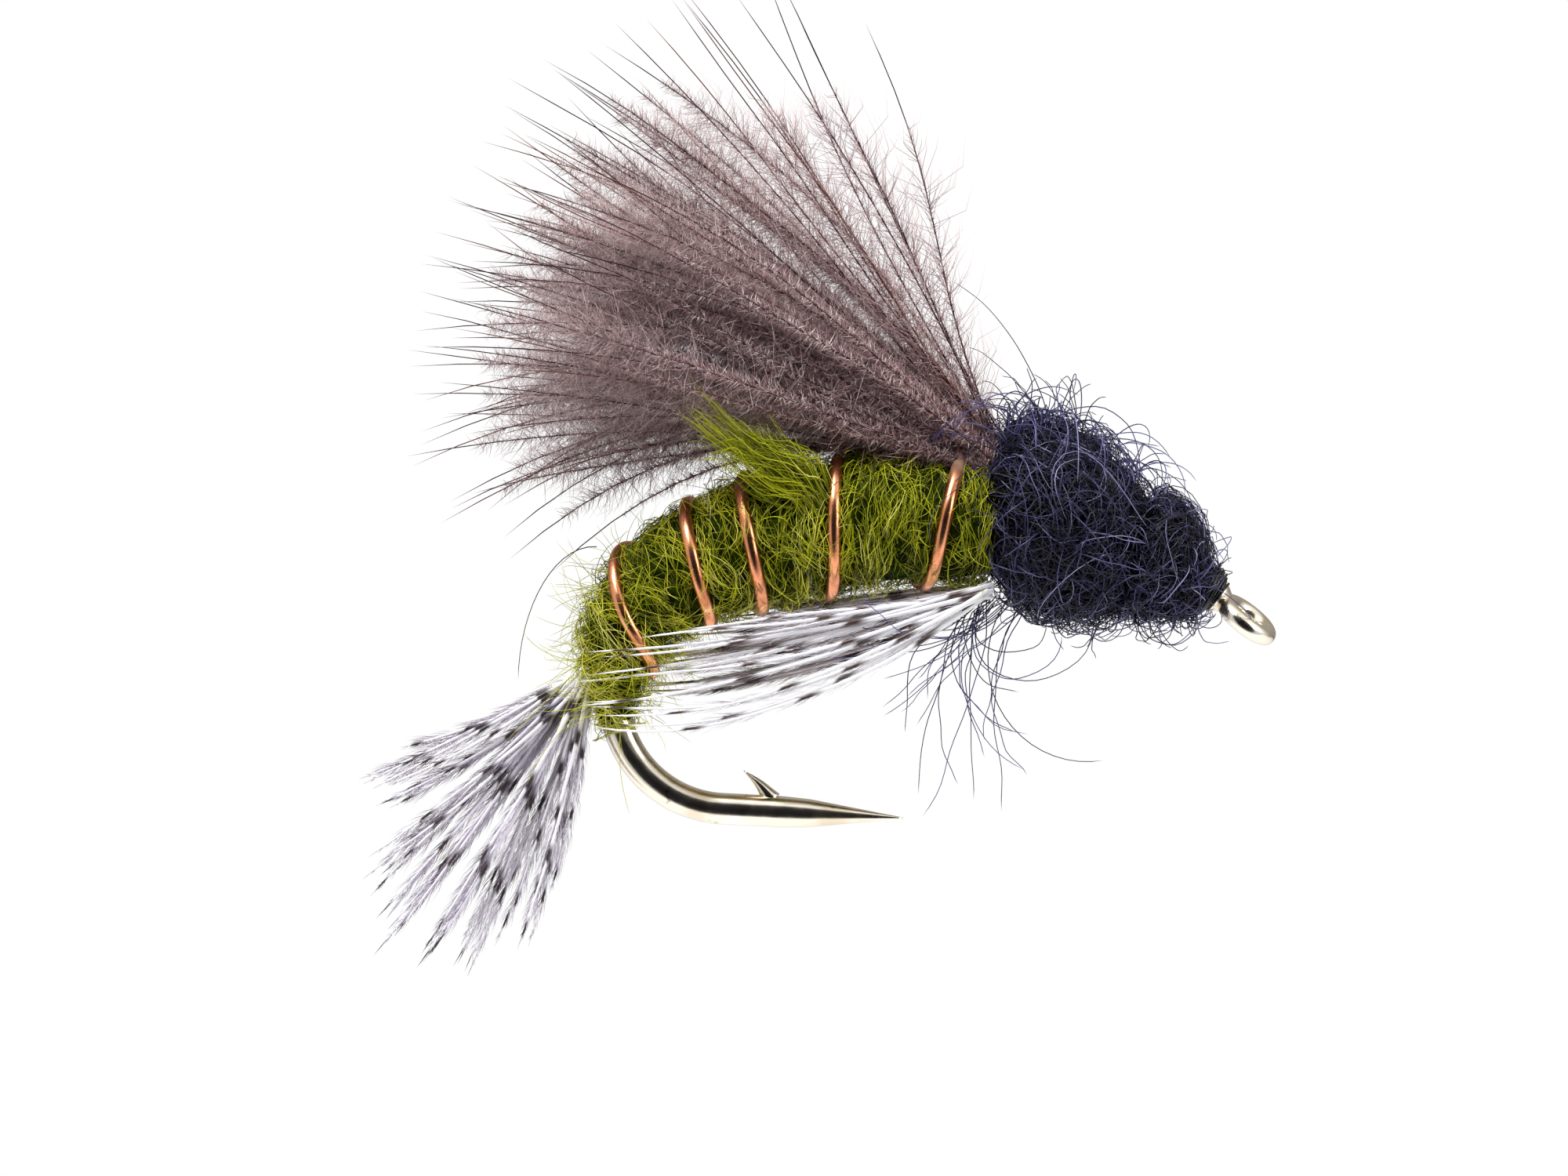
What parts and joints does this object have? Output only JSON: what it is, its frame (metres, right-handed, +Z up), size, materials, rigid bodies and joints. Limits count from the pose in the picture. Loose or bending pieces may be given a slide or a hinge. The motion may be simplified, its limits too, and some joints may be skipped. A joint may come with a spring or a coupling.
{
  "type": "dry fly",
  "caption": "Artificial fly on a curved down-eye barbed hook: fanned feather wing, ribbed dubbed abdomen, barred tail and legs, fur thorax and thread head.",
  "frame": {"origin": "centre of the hook's eye, on the axis of its hole", "axes": "+X from the bend towards the eye along the hook, +Z up from the point towards the wing, +Y to the fly's left side, so -Y is the side that faces a viewer who sees the eye on the right"},
  "size_m": [0.0166, 0.0048, 0.0175],
  "materials": {
    "hook_wire": "bright nickel plate",
    "black_thread": "waxed thread",
    "copper_wire": "bright drawn copper",
    "olive_dubbing": "soft curly dubbing fibre",
    "black_dubbing": "soft curly dubbing fibre",
    "grey_feather": "soft downy feather",
    "barred_feather": "translucent barred feather"
  },
  "bodies": {
    "fly_body": {"hook": "hook_wire", "thread_base": "black_thread", "tail_tie_thread": "black_thread", "rib_wire": "copper_wire", "abdomen_dubbing": "olive_dubbing", "dubbing_tuft": "olive_dubbing", "wing_butts": "grey_feather", "wing_tie_thread": "black_thread", "leg_tie_thread": "black_thread", "thorax_dubbing": "black_dubbing", "head_dubbing": "black_dubbing", "picked_out_hairs": "black_dubbing", "head_thread": "black_thread", "whip_finish": "black_thread"},
    "wing": {"wing_feather_1": "grey_feather", "wing_feather_2": "grey_feather", "wing_feather_3": "grey_feather", "wing_feather_4": "grey_feather"},
    "tail": {"tail_fibres_upper": "barred_feather", "tail_fibres_middle": "barred_feather", "tail_fibres_lower": "barred_feather"},
    "legs_near": {"leg_fibres_near": "barred_feather"},
    "legs_far": {"leg_fibres_far": "barred_feather"}
  },
  "joints": [
    {"name": "wing_flex", "type": "hinge", "parent": "fly_body", "child": "wing", "pos_m": [-0.00466, 0, 0.00294], "axis": [0, 1, 0], "range_deg": [-3, 25], "stiffness_Nm_per_rad": 0.0003},
    {"name": "tail_flex", "type": "hinge", "parent": "fly_body", "child": "tail", "pos_m": [-0.01198, 0, -0.00122], "axis": [0, 1, 0], "range_deg": [-12, 20], "stiffness_Nm_per_rad": 0.0001},
    {"name": "legs_near_flex", "type": "hinge", "parent": "fly_body", "child": "legs_near", "pos_m": [-0.00495, -0.00078, 0.00042], "axis": [0, 0, 1], "range_deg": [-2, 20], "stiffness_Nm_per_rad": 0.0001},
    {"name": "legs_far_flex", "type": "hinge", "parent": "fly_body", "child": "legs_far", "pos_m": [-0.00495, 0.00078, 0.00042], "axis": [0, 0, -1], "range_deg": [-2, 20], "stiffness_Nm_per_rad": 0.0001}
  ]
}
